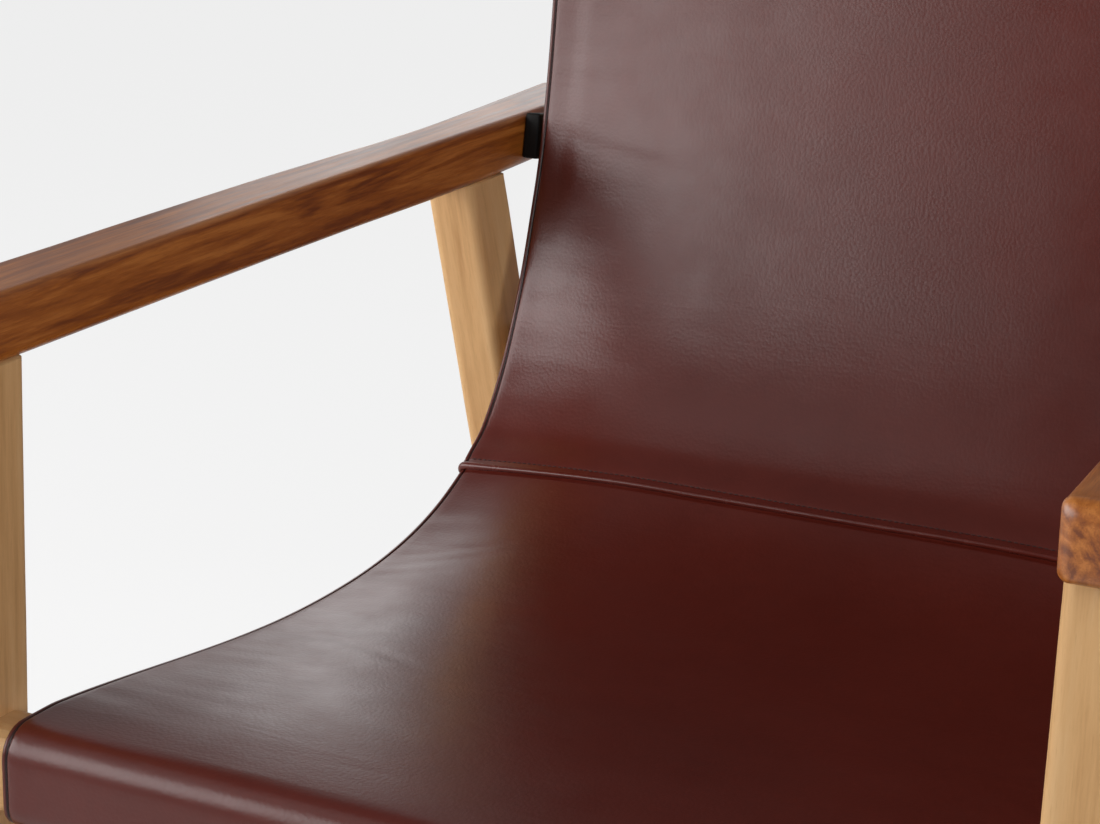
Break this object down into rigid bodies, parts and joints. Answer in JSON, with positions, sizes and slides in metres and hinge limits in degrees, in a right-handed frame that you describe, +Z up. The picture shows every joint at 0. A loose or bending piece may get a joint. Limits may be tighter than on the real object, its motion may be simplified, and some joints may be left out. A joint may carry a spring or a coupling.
{
  "type": "sling lounge chair",
  "caption": "Lounge chair with a seamed leather sling hung between wooden rails, on raked legs with waisted wooden arms.",
  "frame": {"origin": "on the floor, under the middle of the chair's overall box", "axes": "+Z up, the chair faces -Y, +X to the right as seen from the front"},
  "size_m": [0.705, 0.8684, 0.798],
  "materials": {
    "arm_wood": "satin oiled, reddish brown",
    "frame_wood": "satin oiled, honey brown",
    "leather": "semi-gloss, fine grain, oxblood brown",
    "lining": "matt flesh side",
    "steel": "plain zinc",
    "brass": "turned",
    "nylon": "matt"
  },
  "bodies": {
    "root": {"arm_left": "arm_wood", "arm_right": "arm_wood", "front_leg_left": "frame_wood", "front_leg_right": "frame_wood", "rear_leg_left": "frame_wood", "rear_leg_right": "frame_wood", "side_rail_left": "frame_wood", "side_rail_right": "frame_wood", "front_rail": "frame_wood", "top_rail": "frame_wood", "lower_rail": "frame_wood", "stile_left": "frame_wood", "stile_right": "frame_wood", "top_batten": "frame_wood", "front_batten": "frame_wood", "back_panel": "leather", "seat_panel": "leather", "back_lining": "lining", "seat_lining": "lining", "rail_dowel_left": "frame_wood", "rail_dowel_right": "frame_wood", "rail_plug_left": "frame_wood", "rail_plug_right": "frame_wood", "stile_plug_left": "frame_wood", "stile_plug_right": "frame_wood", "stile_spacer_left": "frame_wood", "stile_spacer_right": "frame_wood", "rail_bolt_left": "steel", "rail_bolt_right": "steel", "rail_nut_left": "steel", "rail_nut_right": "steel", "stile_bolt_left": "steel", "stile_bolt_right": "steel", "stile_insert_left": "brass", "stile_insert_right": "brass", "arm_screw_left_1": "steel", "arm_screw_left_2": "steel", "arm_screw_right_1": "steel", "arm_screw_right_2": "steel", "top_screw_1": "steel", "top_screw_2": "steel", "top_screw_3": "steel", "top_screw_4": "steel", "top_screw_5": "steel", "front_screw_1": "steel", "front_screw_2": "steel", "front_screw_3": "steel", "front_screw_4": "steel", "front_screw_5": "steel", "arm_sleeve_left_1": "nylon", "arm_sleeve_left_2": "nylon", "arm_sleeve_right_1": "nylon", "arm_sleeve_right_2": "nylon", "glide_front_left": "nylon", "glide_front_right": "nylon", "glide_rear_left": "nylon", "glide_rear_right": "nylon"}
  },
  "joints": []
}
